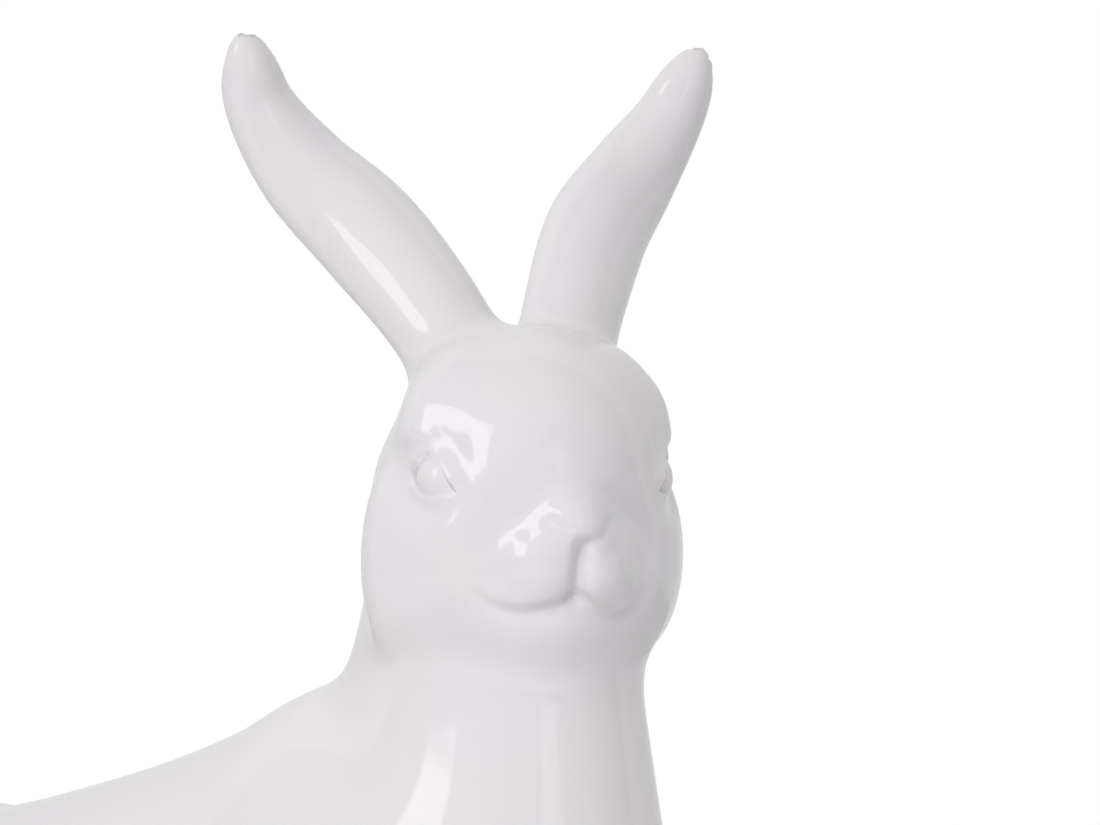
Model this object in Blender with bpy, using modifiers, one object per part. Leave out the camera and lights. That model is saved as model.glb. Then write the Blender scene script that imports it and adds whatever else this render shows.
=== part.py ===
# A rabbit figurine in white glazed ceramic: it lies with its head up and turned to its right.
# Metres, +Z up. The rabbit faces -Y and rests on z = 0, with the middle of its footprint at the origin.
import math

import bmesh
import bpy
import numpy as np
from mathutils import Matrix

# Driving dimensions
HEIGHT = 0.200         # table to the tips of the ears
EDGE_ROUND = 0.0055    # round where the sides meet the flat underside
TRIANGLES = 9400       # what the finished figure is thinned to

# The free form is drawn this many units high, so one unit is a share of the height
DRAWN_HEIGHT = 187.65
UNIT = HEIGHT / DRAWN_HEIGHT

# Pose of the head, in degrees about its own centre
HEAD_TURN = 38.0
HEAD_TILT = 0.8


def units(*values):
    return np.array(values, dtype=float) * UNIT


HEAD_CENTRE = units(-3.0, 0.0, 120.0)


# Soft joins between distances

def soft_union(a, b, blend):
    overlap = np.maximum(blend - np.abs(a - b), 0.0) / blend
    return np.minimum(a, b) - overlap ** 3 * blend / 6.0


def soft_common(a, b, blend):
    return -soft_union(-a, -b, blend)


def ease(x):
    x = np.clip(x, 0.0, 1.0)
    return x * x * (3.0 - 2.0 * x)


# Plain shapes, each as a distance from its surface

def ellipsoid(points, centre, radii):
    offset = points - centre
    near = np.linalg.norm(offset / radii, axis=1)
    slope = np.linalg.norm(offset / (radii * radii), axis=1)
    return near * (near - 1.0) / np.maximum(slope, 1e-6)


def round_cone(points, start, end, start_radius, end_radius, stretch):
    offset = (points - start) / stretch
    axis = (end - start) / stretch
    length = np.linalg.norm(axis)
    flare = (end_radius - start_radius) / length
    along = offset @ axis / length
    across = np.linalg.norm(offset - along[:, None] * axis / length, axis=1)
    share = np.clip((along + across * flare / math.sqrt(1.0 - flare * flare)) / length, 0.0, 1.0)
    radius = start_radius + (end_radius - start_radius) * share
    return (np.linalg.norm(offset - share[:, None] * axis, axis=1) - radius) * stretch.min()


def join_cones(points, surface, cones):
    for start, end, start_radius, end_radius, stretch, blend in cones:
        radii = units(start_radius, end_radius)
        cone = round_cone(points, units(*start), units(*end), *radii, np.array(stretch))
        surface = soft_union(surface, cone, blend * UNIT)
    return surface


def join_masses(points, surface, masses):
    for centre, radii, blend in masses:
        surface = soft_union(surface, ellipsoid(points, units(*centre), units(*radii)), blend * UNIT)
    return surface


def read_curve(points, place):
    # Catmull-Rom curve through the points: where it is and how it slopes at each place
    ends = np.vstack([2 * points[0] - points[1], points, 2 * points[-1] - points[-2]])
    index = np.clip(place.astype(int), 0, len(points) - 2)
    t = (place - index)[:, None]
    a, b, c, d = (ends[index + k] for k in range(4))
    bend = 2 * a - 5 * b + 4 * c - d
    turn = 3 * b - a - 3 * c + d
    value = 0.5 * (2 * b + (c - a) * t + bend * t ** 2 + turn * t ** 3)
    slope = 0.5 * (c - a + 2 * bend * t + 3 * turn * t ** 2)
    return value, slope


def drawn_curve(points, count):
    points = np.array(points) * UNIT
    return read_curve(points, np.linspace(0.0, len(points) - 1, count))[0]


def curve_distance(points, curve):
    # Distance to a curve, and how far along it the nearest point lies, from 0 to 1
    steps = np.diff(curve, axis=0)
    lengths = np.linalg.norm(steps, axis=1)
    reached = np.concatenate([[0.0], np.cumsum(lengths)])
    nearest = np.full(len(points), np.inf)
    share = np.zeros(len(points))
    for start, step, length, before in zip(curve, steps, lengths, reached):
        t = np.clip((points - start) @ step / length ** 2, 0.0, 1.0)
        distance = np.linalg.norm(points - start - t[:, None] * step, axis=1)
        closer = distance < nearest
        nearest[closer] = distance[closer]
        share[closer] = (before + t[closer] * length) / reached[-1]
    return nearest, share


def mirrored(points):
    halved = points.copy()
    halved[:, 0] = np.abs(halved[:, 0])
    return halved


def turn_matrix(axis, degrees):
    return np.array(Matrix.Rotation(math.radians(degrees), 3, axis))


HEAD_AXES = turn_matrix("Z", -HEAD_TURN) @ turn_matrix("Y", HEAD_TILT)

# Ears, in the head's own frame: sideways, back and up, then half the width and half the thickness
EAR_STATIONS = np.array([
    (6.5, 3.0, 12.0, 7.6, 5.6),
    (12.3, 10.8, 25.0, 8.4, 5.4),
    (19.4, 19.0, 36.5, 8.9, 5.0),
    (27.8, 25.2, 46.0, 7.7, 4.4),
    (34.6, 26.8, 55.5, 5.8, 3.6),
    (38.0, 25.0, 64.3, 4.5, 3.0),
]) * UNIT
EAR_TIP_LENGTH = 9.0 * UNIT
EAR_PAST_END = 3.0 * UNIT
EAR_BEND = 0.02 / UNIT
EAR_STEPS = 12
EAR_SEARCHES = 6
OVAL_COUNT = 31
OVAL_LENGTH = 4.0 * UNIT

# The hollow up the back of each ear, as shares of the ear's length, width and thickness
HOLLOW_MIDDLE = 0.52
HOLLOW_LENGTH = 0.42
HOLLOW_WIDTH = 0.62
HOLLOW_INWARD = 0.12
HOLLOW_DEPTH = 1.15
HOLLOW_BEHIND = 1.05
HOLLOW_EDGE = 3.0 * UNIT

EAR_LAST = len(EAR_STATIONS) - 1
EAR_PLACES = np.linspace(0.0, EAR_LAST, EAR_LAST * EAR_STEPS + 1)
EAR_LINE = read_curve(EAR_STATIONS, EAR_PLACES)[0][:, :3]
EAR_RUNS = np.concatenate([[0.0], np.cumsum(np.linalg.norm(np.diff(EAR_LINE, axis=0), axis=1))])
EAR_LENGTH = EAR_RUNS[-1] + EAR_PAST_END
EAR_AROUND = 2 * EAR_STATIONS[:, 3].max()


def dot(a, b):
    return (a * b).sum(axis=1)


def unit_length(vectors):
    return vectors / np.linalg.norm(vectors, axis=1)[:, None]


def face_directions(along):
    # The blade faces straight ahead, square to its middle line
    forward = np.array([0.0, -1.0, 0.0])
    return unit_length(forward - (along @ forward)[:, None] * along)


def on_blade(points):
    # Where each point lies by the middle line: run, sideways and ahead, and how wide and thick the ear is
    squares = (EAR_LINE ** 2).sum(axis=1)[None, :] - 2 * points @ EAR_LINE.T
    place = EAR_PLACES[np.argmin(squares, axis=1)]
    for step in range(EAR_SEARCHES):
        table, slope = read_curve(EAR_STATIONS, place)
        offset = points - table[:, :3]
        place = np.clip(place + dot(offset, slope[:, :3]) / dot(slope[:, :3], slope[:, :3]), 0.0, EAR_LAST)
    table, slope = read_curve(EAR_STATIONS, place)
    offset = points - table[:, :3]
    along = unit_length(slope[:, :3])
    face = face_directions(along)
    at_end = (place <= 0.0) | (place >= EAR_LAST)
    run = np.interp(place, EAR_PLACES, EAR_RUNS) + np.where(at_end, dot(offset, along), 0.0)
    return run, dot(offset, np.cross(along, face)), dot(offset, face), table[:, 3], table[:, 4]


def ear_distance(halved):
    low = EAR_LINE.min(axis=0) - EAR_AROUND
    high = EAR_LINE.max(axis=0) + EAR_AROUND
    gap = np.maximum(np.maximum(low - halved, halved - high), 0.0)
    distance = np.linalg.norm(gap, axis=1) + EAR_AROUND / 2
    inside = np.all((halved > low) & (halved < high), axis=1)
    run, sideways, ahead, width, thickness = on_blade(halved[inside])
    # The blade bends back towards its edges
    proud = ahead + EAR_BEND * sideways ** 2
    tip = np.maximum((run - EAR_LENGTH) / EAR_TIP_LENGTH + 1.0, 0.0)
    gauge = (sideways / width) ** 2 + (proud / thickness) ** 2 + tip ** 2 - 1.0
    slope_side = 2 * sideways / width ** 2 + 4 * proud * EAR_BEND * sideways / thickness ** 2
    slope_face = 2 * proud / thickness ** 2
    slope_tip = 2 * tip / EAR_TIP_LENGTH
    slope = np.sqrt(slope_side ** 2 + slope_face ** 2 + slope_tip ** 2)
    blade = gauge / np.maximum(slope, 0.12 / UNIT)
    # The hollow up the back, between two rims
    long = np.full(len(run), HOLLOW_LENGTH * EAR_LENGTH)
    radii = np.stack([long, HOLLOW_WIDTH * width, HOLLOW_DEPTH * thickness], axis=1)
    along_hollow = run - HOLLOW_MIDDLE * EAR_LENGTH
    across_hollow = sideways + HOLLOW_INWARD * width
    into_hollow = proud + HOLLOW_BEHIND * thickness
    hollow = ellipsoid(np.stack([along_hollow, across_hollow, into_hollow], axis=1), 0.0, radii)
    distance[inside] = soft_common(blade, -hollow, HOLLOW_EDGE)
    return distance


# Eyes, on a plane that faces outwards: along it to the front, and up
EYE_CENTRE = units(16.2, -7.2, -1.0)
EYE_RADIUS = 4.6 * UNIT
EYE_ANGLE = math.radians(65.0)
EYE_OUTWARD = np.array([math.sin(EYE_ANGLE), -math.cos(EYE_ANGLE), 0.0])
EYE_ALONG = np.array([-math.cos(EYE_ANGLE), -math.sin(EYE_ANGLE), 0.0])
EYE_EDGE = 0.9 * UNIT
SOCKET_SPREAD = units(8.0, 6.5)
SOCKET_DEPTH = 0.9 * UNIT
OPENING_DEPTH = 1.1 * UNIT
OPENING_EASE = 1.6 * UNIT
EYE_BEHIND = 3.0 * UNIT
EYE_EASE = 4.0 * UNIT
UPPER_LID = drawn_curve([(-4.6, 0.0), (-3.0, 2.7), (-0.7, 4.0), (2.0, 2.4), (5.0, -2.0)], 17)
UPPER_LID_WIDTH, UPPER_LID_RISE = units(1.2, 0.7)
LOWER_LID = drawn_curve([(-4.6, 0.0), (-2.4, -2.2), (0.4, -3.1), (3.0, -2.8), (5.0, -2.0)], 17)
LOWER_LID_WIDTH, LOWER_LID_RISE = units(1.1, 0.45)
BROW = drawn_curve([(-6.0, 4.6), (-2.0, 6.6), (2.6, 3.6), (6.4, -2.0)], 13)
BROW_WIDTH, BROW_RISE = units(1.4, 0.4)

# Nose and mouth, sideways and up on the front of the face
NOSTRIL = drawn_curve([(4.6, -7.2), (3.6, -8.6), (2.0, -9.8), (0.4, -10.6)], 9)
NOSTRIL_WIDTH, NOSTRIL_DEPTH = units(1.2, 0.4)
LIP_CLEFT = drawn_curve([(0.0, -10.6), (0.0, -18.0)], 2)
CLEFT_WIDTH, CLEFT_DEPTH = units(1.4, 1.0)
MOUTH = drawn_curve([(0.0, -17.8), (1.6, -18.4), (4.0, -19.6), (7.6, -20.5), (11.2, -19.8), (14.2, -17.8),
                     (16.6, -14.6)], 25)
MOUTH_WIDTH, MOUTH_DEPTH = units(1.1, 0.3)
LIP_DEPTH, LIP_ROUND, LIP_FADE = units(1.2, 2.4, 5.0)
MOUTH_END = 15.0 * UNIT
MOUTH_EASE = 7.0 * UNIT
FACE_FRONT, FACE_EASE = units(4.0, 6.0)
NOSE_FRONT, NOSE_EASE = units(14.0, 4.0)


def raised(distance, width, rise):
    return rise * np.exp(-(distance / width) ** 2)


def fading_ends(share, part):
    return ease(np.minimum(share, 1.0 - share) / part)


def carve_eyes(points, surface):
    offset = points - EYE_CENTRE
    on_face = np.stack([offset @ EYE_ALONG, offset[:, 2]], axis=1)
    outside = ease((offset @ EYE_OUTWARD + EYE_BEHIND) / EYE_EASE)
    socket = np.linalg.norm(on_face / SOCKET_SPREAD, axis=1)
    lids = -SOCKET_DEPTH * np.exp(-socket ** 4)
    for line, width, rise in ((UPPER_LID, UPPER_LID_WIDTH, UPPER_LID_RISE),
                              (LOWER_LID, LOWER_LID_WIDTH, LOWER_LID_RISE), (BROW, BROW_WIDTH, BROW_RISE)):
        away, share = curve_distance(on_face, line)
        lids = lids + raised(away, width, rise) * fading_ends(share, 0.2)
    # The opening between the lids, down to the eyeball
    upper = np.interp(on_face[:, 0], UPPER_LID[:, 0], UPPER_LID[:, 1])
    lower = np.interp(on_face[:, 0], LOWER_LID[:, 0], LOWER_LID[:, 1])
    within = np.minimum(upper - on_face[:, 1], on_face[:, 1] - lower)
    lids = lids - OPENING_DEPTH * ease(within / OPENING_EASE)
    surface = surface - lids * outside
    return soft_union(surface, np.linalg.norm(offset, axis=1) - EYE_RADIUS, EYE_EDGE)


def carve_mouth(points, surface):
    on_face = points[:, [0, 2]]
    front = ease((-points[:, 1] - FACE_FRONT) / FACE_EASE)
    tip = ease((-points[:, 1] - NOSE_FRONT) / NOSE_EASE)
    # The lip: the chin lies deeper than the pads above the mouth line
    below = np.interp(on_face[:, 0], MOUTH[:, 0], MOUTH[:, 1]) - on_face[:, 1]
    lip = LIP_DEPTH * ease(below / LIP_ROUND + 0.5) * np.exp(-np.maximum(below, 0.0) / LIP_FADE)
    lip = lip * ease((MOUTH_END - on_face[:, 0]) / MOUTH_EASE)
    line, share = curve_distance(on_face, MOUTH)
    groove = raised(line, MOUTH_WIDTH, MOUTH_DEPTH) * ease((1.0 - share) / 0.35)
    surface = surface + (lip + groove) * front
    cleft, share = curve_distance(on_face, LIP_CLEFT)
    surface = surface + raised(cleft, CLEFT_WIDTH, CLEFT_DEPTH) * tip
    nostril, share = curve_distance(on_face, NOSTRIL)
    return surface + raised(nostril, NOSTRIL_WIDTH, NOSTRIL_DEPTH) * ease((1.1 - share) / 0.3) * tip


# The skull in the head's own frame, then the masses: centre, radii and how softly each joins the ones before
SKULL_CENTRE = units(0.0, -0.5, 0.5)
SKULL_RADII = units(19.8, 19.8, 21.4)
HEAD_MASSES = [
    ((11.4, -1.6, 8.5), (8.2, 8.2, 10.2), 6.0),       # sides of the forehead
    ((17.0, -3.2, 5.5), (4.5, 4.5, 7.5), 6.0),        # brows
    ((12.4, 5.5, -4.0), (9.8, 10.0, 13.0), 8.0),      # temples
    ((20.8, 1.5, -13.0), (5.2, 5.2, 12.8), 6.0),      # cheeks
    ((16.4, -2.2, -13.0), (7.2, 7.2, 13.0), 6.0),     # sides of the muzzle
    ((0.0, -6.0, -20.0), (15.0, 13.5, 10.0), 9.0),    # chin
]
# And its cones: start, end, their radii, stretch and how softly each joins the ones before
HEAD_CONES = [
    ((11.2, -6.6, -3.5), (10.9, -6.0, -14.0), 8.4, 9.0, (1.0, 1.0, 1.0), 6.0),       # below the eyes
    ((0.3, -18.2, -6.0), (3.6, -15.2, -13.2), 4.0, 7.0, (1.0, 1.0, 1.0), 6.0),       # bridge and pads
    ((0.0, -20.0, -7.2), (0.0, -20.2, -8.2), 3.4, 3.4, (1.15, 1.0, 1.0), 5.0),       # nose
]
EAR_ROOT_JOIN = 5.0 * UNIT


def head_distance(points):
    halved = mirrored((points - HEAD_CENTRE) @ HEAD_AXES)
    surface = join_masses(halved, ellipsoid(halved, SKULL_CENTRE, SKULL_RADII), HEAD_MASSES)
    surface = join_cones(halved, surface, HEAD_CONES)
    surface = carve_eyes(halved, surface)
    surface = carve_mouth(halved, surface)
    return soft_union(surface, ear_distance(halved), EAR_ROOT_JOIN)


# The trunk at stations along the body: place, height of the back and half the width
TRUNK_STATIONS = np.array([
    (-22, 64, 25), (8, 74, 28), (40, 83.8, 31), (50, 78.6, 31.5), (60, 74.4, 32), (80, 67.9, 33.5),
    (100, 62.9, 36), (122, 60.4, 38.5), (145, 59.5, 37.5), (170, 46, 29),
]) * UNIT
TRUNK_FRONT = -17.8 * UNIT
TRUNK_REAR = 170.0 * UNIT
FRONT_ROUND = 34.0 * UNIT
REAR_ROUND = 44.0 * UNIT
TRUNK_SQUARENESS = 2.3
TRUNK_BELOW = 8.0 * UNIT


def through_stations(places, values, at):
    # Smooth curve through the stations, without overshoot between close ones
    slopes = np.gradient(values, places)
    index = np.clip(np.searchsorted(places, at) - 1, 0, len(places) - 2)
    span = places[index + 1] - places[index]
    t = (at - places[index]) / span
    rise = values[index] * (1 + 2 * t) * (1 - t) ** 2 + values[index + 1] * t * t * (3 - 2 * t)
    lean = slopes[index] * t * (1 - t) ** 2 + slopes[index + 1] * t * t * (t - 1)
    return rise + lean * span


def trunk_distance(points):
    places, backs, widths = TRUNK_STATIONS.T
    along = np.clip(points[:, 1], places[0], places[-1])
    back = through_stations(places, backs, along)
    half_width = through_stations(places, widths, along)
    middle = (back - TRUNK_BELOW) / 2
    half_height = (back + TRUNK_BELOW) / 2
    ahead = np.maximum(TRUNK_FRONT + FRONT_ROUND - points[:, 1], 0.0) / FRONT_ROUND
    behind = np.maximum(points[:, 1] - TRUNK_REAR + REAR_ROUND, 0.0) / REAR_ROUND
    end = np.maximum(ahead, behind)
    n = TRUNK_SQUARENESS
    side = np.maximum(np.abs(points[:, 0]) / half_width, 1e-6)
    rise = np.maximum(np.abs(points[:, 2] - middle) / half_height, 1e-6)
    ring = (side ** n + rise ** n) ** (1 / n)
    gauge = np.sqrt(ring ** 2 + end ** 2)
    slope_side = (side / ring) ** (n - 1) / half_width * ring
    slope_rise = (rise / ring) ** (n - 1) / half_height * ring
    slope_end = end / np.where(ahead > 0, FRONT_ROUND, REAR_ROUND)
    slope = np.sqrt(slope_side ** 2 + slope_rise ** 2 + slope_end ** 2) / gauge
    return (gauge - 1.0) / np.maximum(slope, 0.012 / UNIT)


# The body's cones: start, end, their radii, stretch and how softly each joins the ones before
BODY_CONES = [
    ((0, 7, 106), (0, 10, 40), 17.0, 28.0, (1.0, 1.16, 1.0), 14.0),     # neck
    ((30, 86, 6), (29, 132, 10), 8.5, 12.0, (1.15, 1.0, 0.9), 8.0),     # hind feet
    ((14, 12, 10), (13, -27, 6.5), 12.0, 9.5, (1.0, 1.0, 0.85), 10.0),  # fore paws
]
# And its rounder masses, as on the head
BODY_MASSES = [
    ((17, 22, 32), (17, 24, 26), 12.0),      # shoulders
    ((25, 122, 30), (18, 31, 30), 7.0),      # thighs
    ((0, 169, 27), (12, 11, 12.5), 10.0),    # tail
]
NECK_JOIN = 12.0 * UNIT


def body_distance(points):
    halved = mirrored(points)
    return join_masses(halved, join_cones(halved, trunk_distance(halved), BODY_CONES), BODY_MASSES)


def rabbit_distance(points):
    surface = soft_union(body_distance(points), head_distance(points), NECK_JOIN)
    return soft_common(surface, -points[:, 2], EDGE_ROUND)


# Building the mesh

NUDGE = 0.02 * UNIT
LONGEST_MOVE = 1.5 * UNIT
# Size of the cells that the balls are joined with, and how often the corners settle
JOINING = [(2.4 * UNIT, 8), (1.6 * UNIT, 4)]


def clear_scene():
    for leftover in list(bpy.data.objects):
        bpy.data.objects.remove(leftover)


def glaze_material():
    material = bpy.data.materials.new("glaze")
    material.use_nodes = True
    shader = material.node_tree.nodes["Principled BSDF"]
    shader.inputs["Base Color"].default_value = (0.84, 0.82, 0.83, 1.0)
    shader.inputs["Roughness"].default_value = 0.1
    shader.inputs["Metallic"].default_value = 0.0
    return material


def unit_ball():
    mesh = bmesh.new()
    bmesh.ops.create_uvsphere(mesh, u_segments=32, v_segments=16, radius=1.0)
    ball = bpy.data.meshes.new("ball")
    mesh.to_mesh(ball)
    mesh.free()
    return ball


def add_ball(mesh, ball, centre, radii, axes):
    placed = ball.copy()
    turned = Matrix(axes.tolist()).to_4x4()
    placed.transform(Matrix.Translation(centre) @ turned @ Matrix.Diagonal((*radii, 1.0)))
    mesh.from_mesh(placed)
    bpy.data.meshes.remove(placed)


def balls_of(masses, cones):
    balls = [(units(*centre), units(*radii)) for centre, radii, blend in masses]
    for start, end, start_radius, end_radius, stretch, blend in cones:
        for share in np.linspace(0.0, 1.0, 6):
            radius = start_radius + (end_radius - start_radius) * share
            place = units(*start) * (1 - share) + units(*end) * share
            balls.append((place, units(*stretch) * radius))
    return balls


def rough_form():
    # Balls that overlap where the masses lie, as a start for the finished surface
    mesh = bmesh.new()
    ball = unit_ball()
    level = np.identity(3)
    head_balls = [(SKULL_CENTRE, SKULL_RADII)] + balls_of(HEAD_MASSES, HEAD_CONES)
    body_balls = balls_of(BODY_MASSES, BODY_CONES)
    for place, back, half_width in TRUNK_STATIONS[1:-1]:
        radii = np.array([0.9 * half_width, FRONT_ROUND, back / 2])
        body_balls.append((np.array([0.0, place, back / 2]), radii))
    table, slope = read_curve(EAR_STATIONS, np.linspace(0.0, EAR_LAST, OVAL_COUNT))
    along = unit_length(slope[:, :3])
    faces = face_directions(along)
    turned = np.stack([np.cross(along, faces), faces, along], axis=2)
    for centre, width, thickness, axes in zip(table[:, :3], table[:, 3], table[:, 4], turned):
        radii = (width, thickness, OVAL_LENGTH)
        for side in (-1, 1):
            mirror = np.diag([side, 1, 1])
            place = HEAD_CENTRE + HEAD_AXES @ mirror @ centre
            add_ball(mesh, ball, place, radii, HEAD_AXES @ mirror @ axes @ mirror)
    for side in (-1, 1):
        for centre, radii in head_balls:
            add_ball(mesh, ball, HEAD_CENTRE + HEAD_AXES @ (centre * (side, 1, 1)), radii, HEAD_AXES)
        for centre, radii in body_balls:
            add_ball(mesh, ball, centre * (side, 1, 1), radii, level)
    bpy.data.meshes.remove(ball)
    data = bpy.data.meshes.new("rabbit")
    mesh.to_mesh(data)
    mesh.free()
    return data


def apply_modifier(rabbit, kind, **settings):
    modifier = rabbit.modifiers.new(kind.lower(), kind)
    for name, value in settings.items():
        setattr(modifier, name, value)
    graph = bpy.context.evaluated_depsgraph_get()
    finished = bpy.data.meshes.new_from_object(rabbit.evaluated_get(graph))
    rabbit.modifiers.clear()
    before = rabbit.data
    rabbit.data = finished
    bpy.data.meshes.remove(before)
    finished.name = "rabbit"


def settle(rabbit, rounds):
    # Every corner moves along the slope of the distance until it lies on the surface
    corners = np.empty(3 * len(rabbit.data.vertices))
    rabbit.data.vertices.foreach_get("co", corners)
    corners = corners.reshape(-1, 3)
    for turn in range(rounds):
        distance = rabbit_distance(corners)
        slope = np.stack([(rabbit_distance(corners + nudge) - distance) / NUDGE
                          for nudge in np.identity(3) * NUDGE], axis=1)
        steepness = np.maximum((slope ** 2).sum(axis=1), 0.05)
        move = -(distance / steepness)[:, None] * slope
        length = np.linalg.norm(move, axis=1)
        corners = corners + move * np.minimum(1.0, LONGEST_MOVE / np.maximum(length, 1e-9))[:, None]
    rabbit.data.vertices.foreach_set("co", corners.ravel())
    rabbit.data.update()


def flatten_underside(rabbit):
    for corner in rabbit.data.vertices:
        if corner.co.z < EDGE_ROUND / 100:
            corner.co.z = 0.0


def centre_footprint(rabbit):
    corners = np.array([corner.co for corner in rabbit.data.vertices])
    middle = (corners.min(axis=0) + corners.max(axis=0)) / 2
    rabbit.data.transform(Matrix.Translation((-middle[0], -middle[1], 0.0)))


def build_rabbit():
    clear_scene()
    collection = bpy.data.collections.new("rabbit figurine")
    bpy.context.scene.collection.children.link(collection)
    rabbit = bpy.data.objects.new("rabbit", rough_form())
    collection.objects.link(rabbit)
    for cell, rounds in JOINING:
        apply_modifier(rabbit, "REMESH", mode="VOXEL", voxel_size=cell)
        settle(rabbit, rounds)
    apply_modifier(rabbit, "TRIANGULATE")
    apply_modifier(rabbit, "DECIMATE", ratio=TRIANGLES / len(rabbit.data.polygons))
    flatten_underside(rabbit)
    centre_footprint(rabbit)
    rabbit.data.materials.append(glaze_material())
    rabbit.data.shade_smooth()
    return rabbit


build_rabbit()
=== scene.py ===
import math

import bmesh
import bpy
import numpy as np
from mathutils import Matrix, Vector


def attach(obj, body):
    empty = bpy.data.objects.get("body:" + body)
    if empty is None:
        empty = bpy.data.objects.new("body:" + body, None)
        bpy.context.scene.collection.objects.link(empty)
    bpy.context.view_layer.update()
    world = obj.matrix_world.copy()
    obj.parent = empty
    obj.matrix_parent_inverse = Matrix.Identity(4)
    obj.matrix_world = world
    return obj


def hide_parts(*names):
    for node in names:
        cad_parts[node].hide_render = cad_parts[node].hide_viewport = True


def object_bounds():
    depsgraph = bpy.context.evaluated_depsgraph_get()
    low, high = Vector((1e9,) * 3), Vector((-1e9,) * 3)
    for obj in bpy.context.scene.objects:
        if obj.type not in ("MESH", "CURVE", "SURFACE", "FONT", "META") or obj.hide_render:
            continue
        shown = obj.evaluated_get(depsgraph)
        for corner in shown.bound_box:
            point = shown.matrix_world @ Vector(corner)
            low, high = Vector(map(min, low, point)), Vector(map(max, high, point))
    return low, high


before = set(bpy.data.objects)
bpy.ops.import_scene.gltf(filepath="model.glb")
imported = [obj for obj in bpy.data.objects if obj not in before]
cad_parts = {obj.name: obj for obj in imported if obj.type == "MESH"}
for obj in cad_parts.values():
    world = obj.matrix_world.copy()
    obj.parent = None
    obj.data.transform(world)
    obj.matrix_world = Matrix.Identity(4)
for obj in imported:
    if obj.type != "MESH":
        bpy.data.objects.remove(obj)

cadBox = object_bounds()
cadLow, cadHigh = (np.array(corner) for corner in cadBox)
print("frame loaded, box", cadLow.round(4).tolist(), cadHigh.round(4).tolist())

# The free form is drawn this many units high, as the solid is
drawnHeight = 187.65
unit = (cadHigh[2] - cadLow[2]) / drawnHeight


def units(*values):
    return np.array(values, dtype=float) * unit


def turnMatrix(axis, degrees):
    return np.array(Matrix.Rotation(math.radians(degrees), 3, axis))


headPose = {
    "centre": units(-3.0, 0.0, 120.0),
    "axes": turnMatrix("Z", -38.0) @ turnMatrix("Y", 0.8),
}


# Soft joins between distances

def softUnion(a, b, blend):
    overlap = np.maximum(blend - np.abs(a - b), 0.0) / blend
    return np.minimum(a, b) - overlap ** 3 * blend / 6.0


def softCommon(a, b, blend):
    return -softUnion(-a, -b, blend)


def ease(x):
    x = np.clip(x, 0.0, 1.0)
    return x * x * (3.0 - 2.0 * x)


# Plain shapes, each as a distance from its surface

def ellipsoid(points, centre, radii):
    offset = points - centre
    near = np.linalg.norm(offset / radii, axis=1)
    slope = np.linalg.norm(offset / (radii * radii), axis=1)
    return near * (near - 1.0) / np.maximum(slope, 1e-6)


def roundCone(points, start, end, startRadius, endRadius, stretch):
    offset = (points - start) / stretch
    axis = (end - start) / stretch
    length = np.linalg.norm(axis)
    flare = (endRadius - startRadius) / length
    along = offset @ axis / length
    across = np.linalg.norm(offset - along[:, None] * axis / length, axis=1)
    share = np.clip((along + across * flare / math.sqrt(1.0 - flare * flare)) / length, 0.0, 1.0)
    radius = startRadius + (endRadius - startRadius) * share
    return (np.linalg.norm(offset - share[:, None] * axis, axis=1) - radius) * stretch.min()


def joinCones(points, surface, cones):
    for start, end, startRadius, endRadius, stretch, blend in cones:
        radii = units(startRadius, endRadius)
        cone = roundCone(points, units(*start), units(*end), *radii, np.array(stretch))
        surface = softUnion(surface, cone, blend * unit)
    return surface


def joinMasses(points, surface, masses):
    for centre, radii, blend in masses:
        surface = softUnion(surface, ellipsoid(points, units(*centre), units(*radii)), blend * unit)
    return surface


def readCurve(points, place):
    # Catmull-Rom curve through the points: where it is and how it slopes at each place
    ends = np.vstack([2 * points[0] - points[1], points, 2 * points[-1] - points[-2]])
    index = np.clip(place.astype(int), 0, len(points) - 2)
    t = (place - index)[:, None]
    a, b, c, d = (ends[index + k] for k in range(4))
    bend = 2 * a - 5 * b + 4 * c - d
    turn = 3 * b - a - 3 * c + d
    value = 0.5 * (2 * b + (c - a) * t + bend * t ** 2 + turn * t ** 3)
    slope = 0.5 * (c - a + 2 * bend * t + 3 * turn * t ** 2)
    return value, slope


def drawnCurve(points, count):
    points = np.array(points) * unit
    return readCurve(points, np.linspace(0.0, len(points) - 1, count))[0]


def curveDistance(points, curve):
    # Distance to a curve, and how far along it the nearest point lies, from 0 to 1
    steps = np.diff(curve, axis=0)
    lengths = np.linalg.norm(steps, axis=1)
    reached = np.concatenate([[0.0], np.cumsum(lengths)])
    nearest = np.full(len(points), np.inf)
    share = np.zeros(len(points))
    for start, step, length, before in zip(curve, steps, lengths, reached):
        t = np.clip((points - start) @ step / length ** 2, 0.0, 1.0)
        distance = np.linalg.norm(points - start - t[:, None] * step, axis=1)
        closer = distance < nearest
        nearest[closer] = distance[closer]
        share[closer] = (before + t[closer] * length) / reached[-1]
    return nearest, share


def mirrored(points):
    halved = points.copy()
    halved[:, 0] = np.abs(halved[:, 0])
    return halved


def dot(a, b):
    return (a * b).sum(axis=1)


def unitLength(vectors):
    return vectors / np.linalg.norm(vectors, axis=1)[:, None]


# Ears. Stations in the head's own frame: sideways, back and up, then half the width and half the thickness

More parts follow.
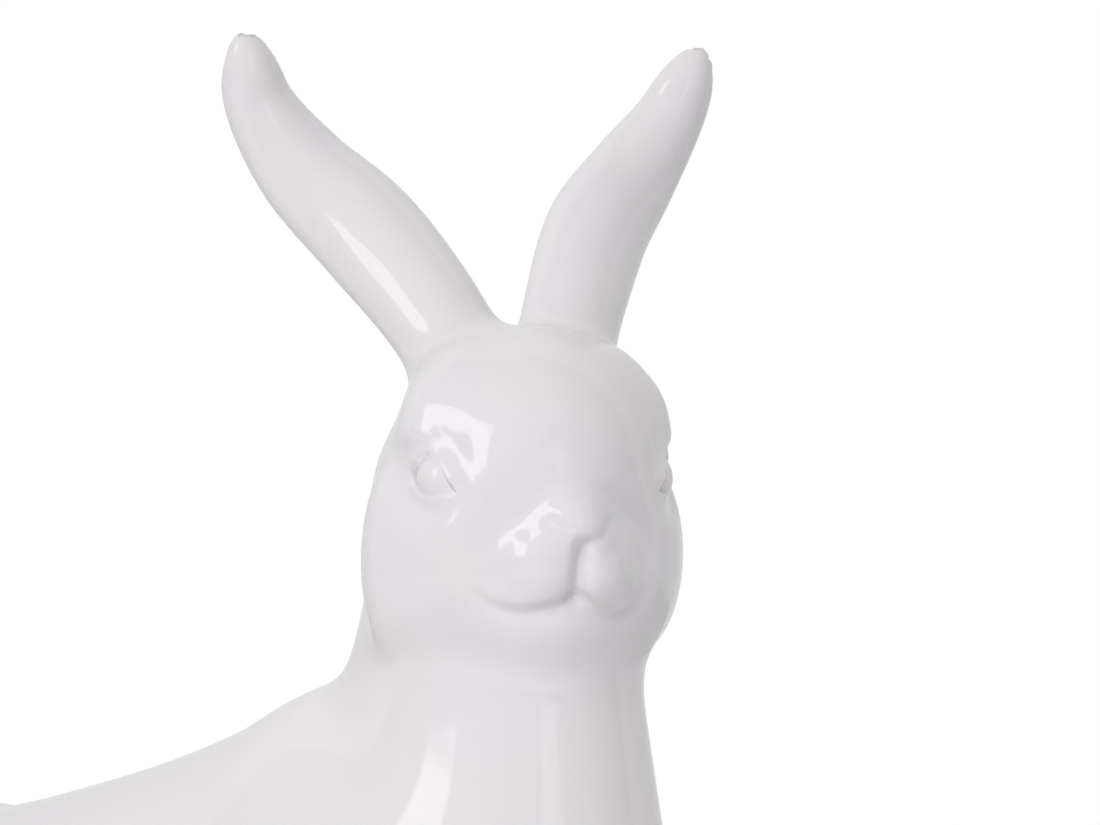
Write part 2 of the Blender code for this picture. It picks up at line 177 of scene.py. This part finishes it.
earSizes = {
    "stations": np.array([
        (6.5, 3.0, 12.0, 7.6, 5.6),
        (12.3, 10.8, 25.0, 8.4, 5.4),
        (19.4, 19.0, 36.5, 8.9, 5.0),
        (27.8, 25.2, 46.0, 7.7, 4.4),
        (34.6, 26.8, 55.5, 5.8, 3.6),
        (38.0, 25.0, 64.3, 4.5, 3.0),
    ]) * unit,
    "tipLength": 9.0 * unit,
    "pastEnd": 3.0 * unit,
    "bend": 0.02 / unit,
    "hollowMiddle": 0.52,
    "hollowLength": 0.42,
    "hollowWidth": 0.62,
    "hollowInward": 0.12,
    "hollowDepth": 1.15,
    "hollowBehind": 1.05,
    "hollowEdge": 3.0 * unit,
    "gentlest": 0.12 / unit,  # the least slope that a distance is worked out with
    "steps": 12,
    "searches": 6,
}


def earGuide():
    last = len(earSizes["stations"]) - 1
    places = np.linspace(0.0, last, last * earSizes["steps"] + 1)
    line = readCurve(earSizes["stations"], places)[0][:, :3]
    runs = np.concatenate([[0.0], np.cumsum(np.linalg.norm(np.diff(line, axis=0), axis=1))])
    length = runs[-1] + earSizes["pastEnd"]
    return {"last": last, "places": places, "line": line, "runs": runs, "length": length}


earLine = earGuide()


def onBlade(points):
    # Where each point lies by the middle line: run, sideways and ahead, and how wide and thick the ear is
    line, last, stations = earLine["line"], earLine["last"], earSizes["stations"]
    squares = (line ** 2).sum(axis=1)[None, :] - 2 * points @ line.T
    place = earLine["places"][np.argmin(squares, axis=1)]
    for step in range(earSizes["searches"]):
        table, slope = readCurve(stations, place)
        offset = points - table[:, :3]
        place = np.clip(place + dot(offset, slope[:, :3]) / dot(slope[:, :3], slope[:, :3]), 0.0, last)
    table, slope = readCurve(stations, place)
    offset = points - table[:, :3]
    along = unitLength(slope[:, :3])
    forward = np.array([0.0, -1.0, 0.0])
    face = unitLength(forward - (along @ forward)[:, None] * along)
    atEnd = (place <= 0.0) | (place >= last)
    run = np.interp(place, earLine["places"], earLine["runs"]) + np.where(atEnd, dot(offset, along), 0.0)
    return run, dot(offset, np.cross(along, face)), dot(offset, face), table[:, 3], table[:, 4]


def earDistance(halved):
    size = earSizes
    length = earLine["length"]
    around = 2 * size["stations"][:, 3].max()
    low = earLine["line"].min(axis=0) - around
    high = earLine["line"].max(axis=0) + around
    gap = np.maximum(np.maximum(low - halved, halved - high), 0.0)
    distance = np.linalg.norm(gap, axis=1) + around / 2
    inside = np.all((halved > low) & (halved < high), axis=1)
    run, sideways, ahead, width, thickness = onBlade(halved[inside])
    # The blade bends back towards its edges
    proud = ahead + size["bend"] * sideways ** 2
    tip = np.maximum((run - length) / size["tipLength"] + 1.0, 0.0)
    gauge = (sideways / width) ** 2 + (proud / thickness) ** 2 + tip ** 2 - 1.0
    slopeSide = 2 * sideways / width ** 2 + 4 * proud * size["bend"] * sideways / thickness ** 2
    slopeFace = 2 * proud / thickness ** 2
    slopeTip = 2 * tip / size["tipLength"]
    slope = np.sqrt(slopeSide ** 2 + slopeFace ** 2 + slopeTip ** 2)
    blade = gauge / np.maximum(slope, size["gentlest"])
    # The hollow up the back, between two rims
    long = np.full(len(run), size["hollowLength"] * length)
    radii = np.stack([long, size["hollowWidth"] * width, size["hollowDepth"] * thickness], axis=1)
    alongHollow = run - size["hollowMiddle"] * length
    acrossHollow = sideways + size["hollowInward"] * width
    intoHollow = proud + size["hollowBehind"] * thickness
    hollow = ellipsoid(np.stack([alongHollow, acrossHollow, intoHollow], axis=1), 0.0, radii)
    distance[inside] = softCommon(blade, -hollow, size["hollowEdge"])
    return distance


# Eyes, on a plane that faces outwards: along it to the front, and up

eyeAngle = math.radians(65.0)
eyeSizes = {
    "centre": units(16.2, -7.2, -1.0),
    "radius": 4.6 * unit,
    "outward": np.array([math.sin(eyeAngle), -math.cos(eyeAngle), 0.0]),
    "along": np.array([-math.cos(eyeAngle), -math.sin(eyeAngle), 0.0]),
    "edge": 0.9 * unit,
    "socketSpread": units(8.0, 6.5),
    "socketDepth": 0.9 * unit,
    "openingDepth": 1.1 * unit,
    "openingEase": 1.6 * unit,
    "behind": 3.0 * unit,
    "ease": 4.0 * unit,
    "upperLid": drawnCurve([(-4.6, 0.0), (-3.0, 2.7), (-0.7, 4.0), (2.0, 2.4), (5.0, -2.0)], 17),
    "upperWidth": 1.2 * unit,
    "upperRise": 0.7 * unit,
    "lowerLid": drawnCurve([(-4.6, 0.0), (-2.4, -2.2), (0.4, -3.1), (3.0, -2.8), (5.0, -2.0)], 17),
    "lowerWidth": 1.1 * unit,
    "lowerRise": 0.45 * unit,
    "brow": drawnCurve([(-6.0, 4.6), (-2.0, 6.6), (2.6, 3.6), (6.4, -2.0)], 13),
    "browWidth": 1.4 * unit,
    "browRise": 0.4 * unit,
    "lidFade": 0.2,
}

# Nose and mouth, sideways and up on the front of the face

mouthSizes = {
    "nostril": drawnCurve([(4.6, -7.2), (3.6, -8.6), (2.0, -9.8), (0.4, -10.6)], 9),
    "nostrilWidth": 1.2 * unit,
    "nostrilDepth": 0.4 * unit,
    "nostrilEnd": 1.1,
    "nostrilFade": 0.3,
    "cleft": drawnCurve([(0.0, -10.6), (0.0, -18.0)], 2),
    "cleftWidth": 1.4 * unit,
    "cleftDepth": 1.0 * unit,
    "line": drawnCurve([(0.0, -17.8), (1.6, -18.4), (4.0, -19.6), (7.6, -20.5), (11.2, -19.8),
                        (14.2, -17.8), (16.6, -14.6)], 25),
    "lineWidth": 1.1 * unit,
    "lineDepth": 0.3 * unit,
    "lineFade": 0.35,
    "lipDepth": 1.2 * unit,
    "lipRound": 2.4 * unit,
    "lipFade": 5.0 * unit,
    "end": 15.0 * unit,
    "endEase": 7.0 * unit,
    "front": 4.0 * unit,
    "frontEase": 6.0 * unit,
    "tip": 14.0 * unit,
    "tipEase": 4.0 * unit,
}


def raised(distance, width, rise):
    return rise * np.exp(-(distance / width) ** 2)


def fadingEnds(share, part):
    return ease(np.minimum(share, 1.0 - share) / part)


def carveEyes(points, surface):
    size = eyeSizes
    offset = points - size["centre"]
    spot = np.stack([offset @ size["along"], offset[:, 2]], axis=1)
    outside = ease((offset @ size["outward"] + size["behind"]) / size["ease"])
    socket = np.linalg.norm(spot / size["socketSpread"], axis=1)
    lids = -size["socketDepth"] * np.exp(-socket ** 4)
    for line, part in (("upperLid", "upper"), ("lowerLid", "lower"), ("brow", "brow")):
        away, share = curveDistance(spot, size[line])
        ridge = raised(away, size[part + "Width"], size[part + "Rise"])
        lids = lids + ridge * fadingEnds(share, size["lidFade"])
    # The opening between the lids, down to the eyeball
    upper = np.interp(spot[:, 0], size["upperLid"][:, 0], size["upperLid"][:, 1])
    lower = np.interp(spot[:, 0], size["lowerLid"][:, 0], size["lowerLid"][:, 1])
    within = np.minimum(upper - spot[:, 1], spot[:, 1] - lower)
    lids = lids - size["openingDepth"] * ease(within / size["openingEase"])
    surface = surface - lids * outside
    return softUnion(surface, np.linalg.norm(offset, axis=1) - size["radius"], size["edge"])


def carveMouth(points, surface):
    size = mouthSizes
    spot = points[:, [0, 2]]
    front = ease((-points[:, 1] - size["front"]) / size["frontEase"])
    tip = ease((-points[:, 1] - size["tip"]) / size["tipEase"])
    # The lip: the chin lies deeper than the pads above the mouth line
    below = np.interp(spot[:, 0], size["line"][:, 0], size["line"][:, 1]) - spot[:, 1]
    lip = size["lipDepth"] * ease(below / size["lipRound"] + 0.5)
    lip = lip * np.exp(-np.maximum(below, 0.0) / size["lipFade"])
    lip = lip * ease((size["end"] - spot[:, 0]) / size["endEase"])
    away, share = curveDistance(spot, size["line"])
    groove = raised(away, size["lineWidth"], size["lineDepth"]) * ease((1.0 - share) / size["lineFade"])
    surface = surface + (lip + groove) * front
    away = curveDistance(spot, size["cleft"])[0]
    surface = surface + raised(away, size["cleftWidth"], size["cleftDepth"]) * tip
    away, share = curveDistance(spot, size["nostril"])
    nostril = raised(away, size["nostrilWidth"], size["nostrilDepth"])
    return surface + nostril * ease((size["nostrilEnd"] - share) / size["nostrilFade"]) * tip


# Head in its own frame. Masses give centre and radii, cones start, end, their radii and stretch,
# and both end with how softly each joins the ones before

headSizes = {
    "skullCentre": units(0.0, -0.5, 0.5),
    "skullRadii": units(19.8, 19.8, 21.4),
    "masses": [
        ((11.4, -1.6, 8.5), (8.2, 8.2, 10.2), 6.0),     # sides of the forehead
        ((17.0, -3.2, 5.5), (4.5, 4.5, 7.5), 6.0),      # brows
        ((12.4, 5.5, -4.0), (9.8, 10.0, 13.0), 8.0),    # temples
        ((20.8, 1.5, -13.0), (5.2, 5.2, 12.8), 6.0),    # cheeks
        ((16.4, -2.2, -13.0), (7.2, 7.2, 13.0), 6.0),   # sides of the muzzle
        ((0.0, -6.0, -20.0), (15.0, 13.5, 10.0), 9.0),  # chin
    ],
    "cones": [
        ((11.2, -6.6, -3.5), (10.9, -6.0, -14.0), 8.4, 9.0, (1.0, 1.0, 1.0), 6.0),   # below the eyes
        ((0.3, -18.2, -6.0), (3.6, -15.2, -13.2), 4.0, 7.0, (1.0, 1.0, 1.0), 6.0),   # bridge and pads
        ((0.0, -20.0, -7.2), (0.0, -20.2, -8.2), 3.4, 3.4, (1.15, 1.0, 1.0), 5.0),   # nose
    ],
    "earJoin": 8.0 * unit,
}


def headDistance(points):
    size = headSizes
    halved = mirrored((points - headPose["centre"]) @ headPose["axes"])
    surface = joinMasses(halved, ellipsoid(halved, size["skullCentre"], size["skullRadii"]), size["masses"])
    surface = joinCones(halved, surface, size["cones"])
    surface = carveEyes(halved, surface)
    surface = carveMouth(halved, surface)
    return softUnion(surface, earDistance(halved), size["earJoin"])


# Trunk at stations along the body: place, height of the back and half the width

trunkSizes = {
    "stations": np.array([
        (-22, 64, 25), (8, 74, 28), (40, 83.8, 31), (50, 78.6, 31.5), (60, 74.4, 32), (80, 67.9, 33.5),
        (100, 62.9, 36), (122, 60.4, 38.5), (145, 59.5, 37.5), (170, 46, 29),
    ]) * unit,
    "front": -17.8 * unit,
    "rear": 170.0 * unit,
    "frontRound": 34.0 * unit,
    "rearRound": 44.0 * unit,
    "squareness": 2.3,
    "below": 8.0 * unit,
    "gentlest": 0.012 / unit,  # as on the ears
}


def throughStations(places, values, at):
    # Smooth curve through the stations, without overshoot between close ones
    slopes = np.gradient(values, places)
    index = np.clip(np.searchsorted(places, at) - 1, 0, len(places) - 2)
    span = places[index + 1] - places[index]
    t = (at - places[index]) / span
    rise = values[index] * (1 + 2 * t) * (1 - t) ** 2 + values[index + 1] * t * t * (3 - 2 * t)
    lean = slopes[index] * t * (1 - t) ** 2 + slopes[index + 1] * t * t * (t - 1)
    return rise + lean * span


def trunkDistance(points):
    size = trunkSizes
    places, backs, widths = size["stations"].T
    along = np.clip(points[:, 1], places[0], places[-1])
    back = throughStations(places, backs, along)
    halfWidth = throughStations(places, widths, along)
    middle = (back - size["below"]) / 2
    halfHeight = (back + size["below"]) / 2
    ahead = np.maximum(size["front"] + size["frontRound"] - points[:, 1], 0.0) / size["frontRound"]
    behind = np.maximum(points[:, 1] - size["rear"] + size["rearRound"], 0.0) / size["rearRound"]
    end = np.maximum(ahead, behind)
    n = size["squareness"]
    side = np.maximum(np.abs(points[:, 0]) / halfWidth, 1e-6)
    rise = np.maximum(np.abs(points[:, 2] - middle) / halfHeight, 1e-6)
    ring = (side ** n + rise ** n) ** (1 / n)
    gauge = np.sqrt(ring ** 2 + end ** 2)
    slopeSide = (side / ring) ** (n - 1) / halfWidth * ring
    slopeRise = (rise / ring) ** (n - 1) / halfHeight * ring
    slopeEnd = end / np.where(ahead > 0, size["frontRound"], size["rearRound"])
    slope = np.sqrt(slopeSide ** 2 + slopeRise ** 2 + slopeEnd ** 2) / gauge
    return (gauge - 1.0) / np.maximum(slope, size["gentlest"])


# Cones and masses of the body, given as on the head

bodySizes = {
    "cones": [
        ((0, 7, 106), (0, 10, 40), 17.0, 28.0, (1.0, 1.16, 1.0), 14.0),         # neck
        ((30, 86, 6), (29, 132, 10), 8.5, 12.0, (1.15, 1.0, 0.9), 8.0),         # hind feet
        ((14, 12, 10), (13, -27, 6.5), 12.0, 9.5, (1.0, 1.0, 0.85), 10.0),      # fore paws
    ],
    "masses": [
        ((17, 22, 32), (17, 24, 26), 12.0),      # shoulders
        ((25, 122, 30), (18, 31, 30), 7.0),      # thighs
        ((0, 169, 27), (12, 11, 12.5), 10.0),    # tail
    ],
    "neckJoin": 12.0 * unit,
    "edgeRound": 0.0055,
}


def bodyDistance(points):
    halved = mirrored(points)
    surface = joinCones(halved, trunkDistance(halved), bodySizes["cones"])
    return joinMasses(halved, surface, bodySizes["masses"])


def rabbitDistance(points):
    surface = softUnion(bodyDistance(points), headDistance(points), bodySizes["neckJoin"])
    return softCommon(surface, -points[:, 2], bodySizes["edgeRound"])


# Fine surface: the solid's own mesh, remade in small even cells, laid on the form,
# and cut finer on the head and once more on the face

meshSizes = {
    "cell": 1.6 * unit,
    "footprint": units(2.0, 73.0, 0.0),
    "nudge": 0.02 * unit,
    "longestMove": 1.5 * unit,
    "gentlest": 0.05,  # the least steepness that a move is worked out with
    "firstRounds": 4,
    "laterRounds": 2,
    "headFrom": 84.0 * unit,
    "faceCentre": units(0.0, -12.0, -6.0),
    "faceRadius": 21.0 * unit,
}


def slopeOf(points):
    nudge = meshSizes["nudge"]
    rises = []
    for step in np.identity(3) * nudge:
        rises.append(rabbitDistance(points + step) - rabbitDistance(points - step))
    return np.stack(rises, axis=1) / (2 * nudge)


def cornersOf(mesh):
    corners = np.empty(3 * len(mesh.vertices))
    mesh.vertices.foreach_get("co", corners)
    return corners.reshape(-1, 3)


def settle(mesh, rounds):
    # Every corner moves along the slope of the distance until it lies on the surface
    corners = cornersOf(mesh)
    for turn in range(rounds):
        slope = slopeOf(corners)
        steepness = np.maximum((slope ** 2).sum(axis=1), meshSizes["gentlest"])
        move = -(rabbitDistance(corners) / steepness)[:, None] * slope
        length = np.maximum(np.linalg.norm(move, axis=1), 1e-9)
        corners = corners + move * np.minimum(1.0, meshSizes["longestMove"] / length)[:, None]
    mesh.vertices.foreach_set("co", corners.ravel())
    mesh.update()


def remade(rabbit, cell):
    modifier = rabbit.modifiers.new("cells", "REMESH")
    modifier.mode = "VOXEL"
    modifier.voxel_size = cell
    graph = bpy.context.evaluated_depsgraph_get()
    rabbit.data = bpy.data.meshes.new_from_object(rabbit.evaluated_get(graph))
    rabbit.modifiers.clear()


def cutFiner(mesh, wanted):
    edit = bmesh.new()
    edit.from_mesh(mesh)
    chosen = [face for face in edit.faces if wanted(face.calc_center_median())]
    edges = list({edge for face in chosen for edge in face.edges})
    bmesh.ops.subdivide_edges(edit, edges=edges, cuts=1, use_grid_fill=True)
    edit.to_mesh(mesh)
    edit.free()


def aboveNeck(point):
    return point.z > meshSizes["headFrom"]


def nearFace(point):
    local = headPose["axes"].T @ (np.array(point) - headPose["centre"])
    return np.linalg.norm(local - meshSizes["faceCentre"]) < meshSizes["faceRadius"]


def makeRabbit():
    source = bpy.data.objects["rabbit"]
    start = source.data.copy()
    start.transform(Matrix.Translation(meshSizes["footprint"]))
    rabbit = bpy.data.objects.new("glazedRabbit", start)
    bpy.context.scene.collection.objects.link(rabbit)
    remade(rabbit, meshSizes["cell"])
    mesh = rabbit.data
    settle(mesh, meshSizes["firstRounds"])
    for wanted in (aboveNeck, nearFace):
        cutFiner(mesh, wanted)
        settle(mesh, meshSizes["laterRounds"])
    normals = unitLength(slopeOf(cornersOf(mesh)))
    corners = cornersOf(mesh)
    low, high = corners.min(axis=0), corners.max(axis=0)
    middle = (low + high) / 2
    cadMiddle = (cadLow + cadHigh) / 2
    # Even cells reach a hair past the solid's facets, so they are drawn in to its box
    fit = Matrix.Diagonal((*np.minimum((cadHigh - cadLow) / (high - low), 1.0), 1.0))
    toMiddle = Matrix.Translation((-middle[0], -middle[1], 0.0))
    mesh.transform(Matrix.Translation((cadMiddle[0], cadMiddle[1], 0.0)) @ fit @ toMiddle)
    mesh.shade_smooth()
    mesh.normals_split_custom_set_from_vertices(normals.tolist())
    middleUnits = (middle / unit).round(2).tolist()
    print("rabbit made,", len(mesh.vertices), "corners, middle of its footprint", middleUnits)
    return rabbit, middle - cadMiddle


# Glaze: white, glossy, thinner here and there in soft clouds, and none on the foot

glazeSizes = {
    "colour": (0.80, 0.775, 0.80, 1.0),
    "thinColour": (0.83, 0.79, 0.785, 1.0),
    "bare": (0.78, 0.72, 0.65, 1.0),
    "roughness": 0.07,
    "bareRoughness": 0.75,
    "refraction": 1.5,
    "footTop": 0.0016,
    "footWave": 0.0006,
    "cloudScale": 22.0,
    "cloudFrom": 0.45,
    "cloudTo": 0.8,
    "cloudShare": 0.5,
}


def glazeMaterial():
    size = glazeSizes
    material = bpy.data.materials.new("glaze")
    material.use_nodes = True
    nodes, links = material.node_tree.nodes, material.node_tree.links
    shader = nodes["Principled BSDF"]
    shader.inputs["IOR"].default_value = size["refraction"]
    place = nodes.new("ShaderNodeTexCoord")
    clouds = nodes.new("ShaderNodeTexNoise")
    clouds.inputs["Scale"].default_value = size["cloudScale"]
    links.new(place.outputs["Object"], clouds.inputs["Vector"])
    tint = nodes.new("ShaderNodeMix")
    tint.data_type = "RGBA"
    tint.inputs["A"].default_value = size["colour"]
    tint.inputs["B"].default_value = size["thinColour"]
    softer = nodes.new("ShaderNodeMapRange")
    softer.inputs["From Min"].default_value = size["cloudFrom"]
    softer.inputs["From Max"].default_value = size["cloudTo"]
    softer.inputs["To Max"].default_value = size["cloudShare"]
    links.new(clouds.outputs["Fac"], softer.inputs["Value"])
    links.new(softer.outputs["Result"], tint.inputs["Factor"])
    # Height above the table, a little wavy, tells the glaze from the bare foot
    parts = nodes.new("ShaderNodeSeparateXYZ")
    links.new(place.outputs["Object"], parts.inputs["Vector"])
    wave = nodes.new("ShaderNodeMath")
    wave.operation = "MULTIPLY_ADD"
    wave.inputs[1].default_value = -size["footWave"]
    links.new(clouds.outputs["Fac"], wave.inputs[0])
    links.new(parts.outputs["Z"], wave.inputs[2])
    edge = nodes.new("ShaderNodeMapRange")
    edge.inputs["From Min"].default_value = size["footTop"] - size["footWave"] / 2
    edge.inputs["From Max"].default_value = size["footTop"]
    links.new(wave.outputs["Value"], edge.inputs["Value"])
    colour = nodes.new("ShaderNodeMix")
    colour.data_type = "RGBA"
    colour.inputs["A"].default_value = size["bare"]
    links.new(edge.outputs["Result"], colour.inputs["Factor"])
    links.new(tint.outputs["Result"], colour.inputs["B"])
    links.new(colour.outputs["Result"], shader.inputs["Base Color"])
    rough = nodes.new("ShaderNodeMapRange")
    rough.inputs["To Min"].default_value = size["bareRoughness"]
    rough.inputs["To Max"].default_value = size["roughness"]
    links.new(edge.outputs["Result"], rough.inputs["Value"])
    links.new(rough.outputs["Result"], shader.inputs["Roughness"])
    return material


# Camera of the photograph: the pixel at the head's middle, and how many pixels one drawn unit takes there

viewSizes = {
    "azimuth": -60.0,
    "elevation": 1.5,
    "distance": 0.8528,
    "sensorWidth": 36.0,
    "clipStart": 0.01,
    "imageSize": (1100, 825),
    "headPixel": (528, 470),
    "pixelsPerUnit": 6.5,
}


def viewAxes():
    azimuth, elevation = math.radians(viewSizes["azimuth"]), math.radians(viewSizes["elevation"])
    back = Vector((math.sin(azimuth) * math.cos(elevation), -math.cos(azimuth) * math.cos(elevation),
                   math.sin(elevation)))
    right = Vector((math.cos(azimuth), math.sin(azimuth), 0.0))
    return right, back.cross(right), back


def addCamera(head):
    right, up, back = viewAxes()
    width, height = viewSizes["imageSize"]
    scale = unit / viewSizes["pixelsPerUnit"]
    across = (width / 2 - viewSizes["headPixel"][0]) * scale
    upward = (viewSizes["headPixel"][1] - height / 2) * scale
    target = head + right * across + up * upward
    camera = bpy.data.objects.new("camera", bpy.data.cameras.new("camera"))
    camera.data.sensor_width = viewSizes["sensorWidth"]
    camera.data.lens = viewSizes["sensorWidth"] * viewSizes["distance"] / (width * scale)
    camera.data.clip_start = viewSizes["clipStart"]
    camera.matrix_world = Matrix((
        (*right, 0.0), (*up, 0.0), (*back, 0.0), (0.0, 0.0, 0.0, 1.0))).transposed()
    camera.location = target + back * viewSizes["distance"]
    bpy.context.scene.collection.objects.link(camera)
    bpy.context.scene.camera = camera


lampSizes = [
    {"name": "mainLamp", "azimuth": -46.0, "elevation": 21.0, "distance": 1.28, "size": (0.42, 0.5),
     "power": 1.9, "mirrored": True},
    {"name": "sideLamp", "azimuth": 28.0, "elevation": 5.0, "distance": 1.28, "size": (0.3, 0.4),
     "power": 0.4, "mirrored": True},
    {"name": "softLight", "azimuth": -7.0, "elevation": 36.0, "distance": 1.3, "size": (0.9, 0.9),
     "power": 11.4, "mirrored": False},
]


def addLamps(head):
    right, up, back = viewAxes()
    level = Vector((back.x, back.y, 0.0)).normalized()
    for lamp in lampSizes:
        azimuth, elevation = math.radians(lamp["azimuth"]), math.radians(lamp["elevation"])
        sideways = right * math.sin(azimuth) + level * math.cos(azimuth)
        away = sideways * math.cos(elevation) + Vector((0.0, 0.0, math.sin(elevation)))
        light = bpy.data.lights.new(lamp["name"], "AREA")
        light.shape = "RECTANGLE"
        light.size, light.size_y = lamp["size"]
        light.energy = lamp["power"]
        lampObject = bpy.data.objects.new(lamp["name"], light)
        lampObject.location = head + away * lamp["distance"]
        lampObject.visible_glossy = lamp["mirrored"]
        lampObject.rotation_euler = (-away).to_track_quat("-Z", "Y").to_euler()
        bpy.context.scene.collection.objects.link(lampObject)


# Floor and room: a round table top, and a room that is white behind the figure and darker before it

stageSizes = {
    "floorRadius": 0.5,
    "floorSides": 96,
    "floorBelow": 0.0005,
    "floorColour": (0.9, 0.9, 0.9, 1.0),
    "floorRoughness": 0.9,
    "roomBright": 0.82,
    "roomDark": 0.18,
    "darkAzimuth": 8.0,
    "darkFrom": -0.16,
    "darkTo": -0.06,
}


def addFloor():
    floor = bpy.data.objects.new("floor", bpy.data.meshes.new("floor"))
    edit = bmesh.new()
    sides, radius = stageSizes["floorSides"], stageSizes["floorRadius"]
    bmesh.ops.create_circle(edit, cap_ends=True, segments=sides, radius=radius)
    bmesh.ops.translate(edit, verts=edit.verts, vec=(0.0, 0.0, -stageSizes["floorBelow"]))
    edit.to_mesh(floor.data)
    edit.free()
    material = bpy.data.materials.new("paleTable")
    material.use_nodes = True
    shader = material.node_tree.nodes["Principled BSDF"]
    shader.inputs["Base Color"].default_value = stageSizes["floorColour"]
    shader.inputs["Roughness"].default_value = stageSizes["floorRoughness"]
    floor.data.materials.append(material)
    bpy.context.scene.collection.objects.link(floor)


def addRoom():
    # What the glaze mirrors depends on the direction; the camera itself sees plain white
    right, up, back = viewAxes()
    turned = math.radians(stageSizes["darkAzimuth"])
    darkWay = right * math.sin(turned) + back * math.cos(turned)
    world = bpy.data.worlds.new("studio")
    world.use_nodes = True
    nodes, links = world.node_tree.nodes, world.node_tree.links
    direction = nodes.new("ShaderNodeTexCoord")
    towards = nodes.new("ShaderNodeVectorMath")
    towards.operation = "DOT_PRODUCT"
    towards.inputs[1].default_value = darkWay
    links.new(direction.outputs["Generated"], towards.inputs[0])
    shade = nodes.new("ShaderNodeMapRange")
    shade.interpolation_type = "SMOOTHSTEP"
    shade.inputs["From Min"].default_value = stageSizes["darkFrom"]
    shade.inputs["From Max"].default_value = stageSizes["darkTo"]
    shade.inputs["To Min"].default_value = stageSizes["roomBright"]
    shade.inputs["To Max"].default_value = stageSizes["roomDark"]
    links.new(towards.outputs["Value"], shade.inputs["Value"])
    seen = nodes.new("ShaderNodeLightPath")
    strength = nodes.new("ShaderNodeMix")
    strength.inputs["B"].default_value = 1.0
    links.new(seen.outputs["Is Camera Ray"], strength.inputs["Factor"])
    links.new(shade.outputs["Result"], strength.inputs["A"])
    links.new(strength.outputs["Result"], nodes["Background"].inputs["Strength"])
    nodes["Background"].inputs["Color"].default_value = (1.0, 1.0, 1.0, 1.0)
    bpy.context.scene.world = world
    bpy.context.scene.view_settings.view_transform = "Standard"


rabbit, formOffset = makeRabbit()
rabbit.data.materials.clear()
rabbit.data.materials.append(glazeMaterial())
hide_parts("rabbit")
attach(rabbit, "root")
print("glaze on")

head = Vector(headPose["centre"] - formOffset * (1.0, 1.0, 0.0))
addCamera(head)
addLamps(head)
addFloor()
addRoom()
print("floor, room, lamps and camera set")
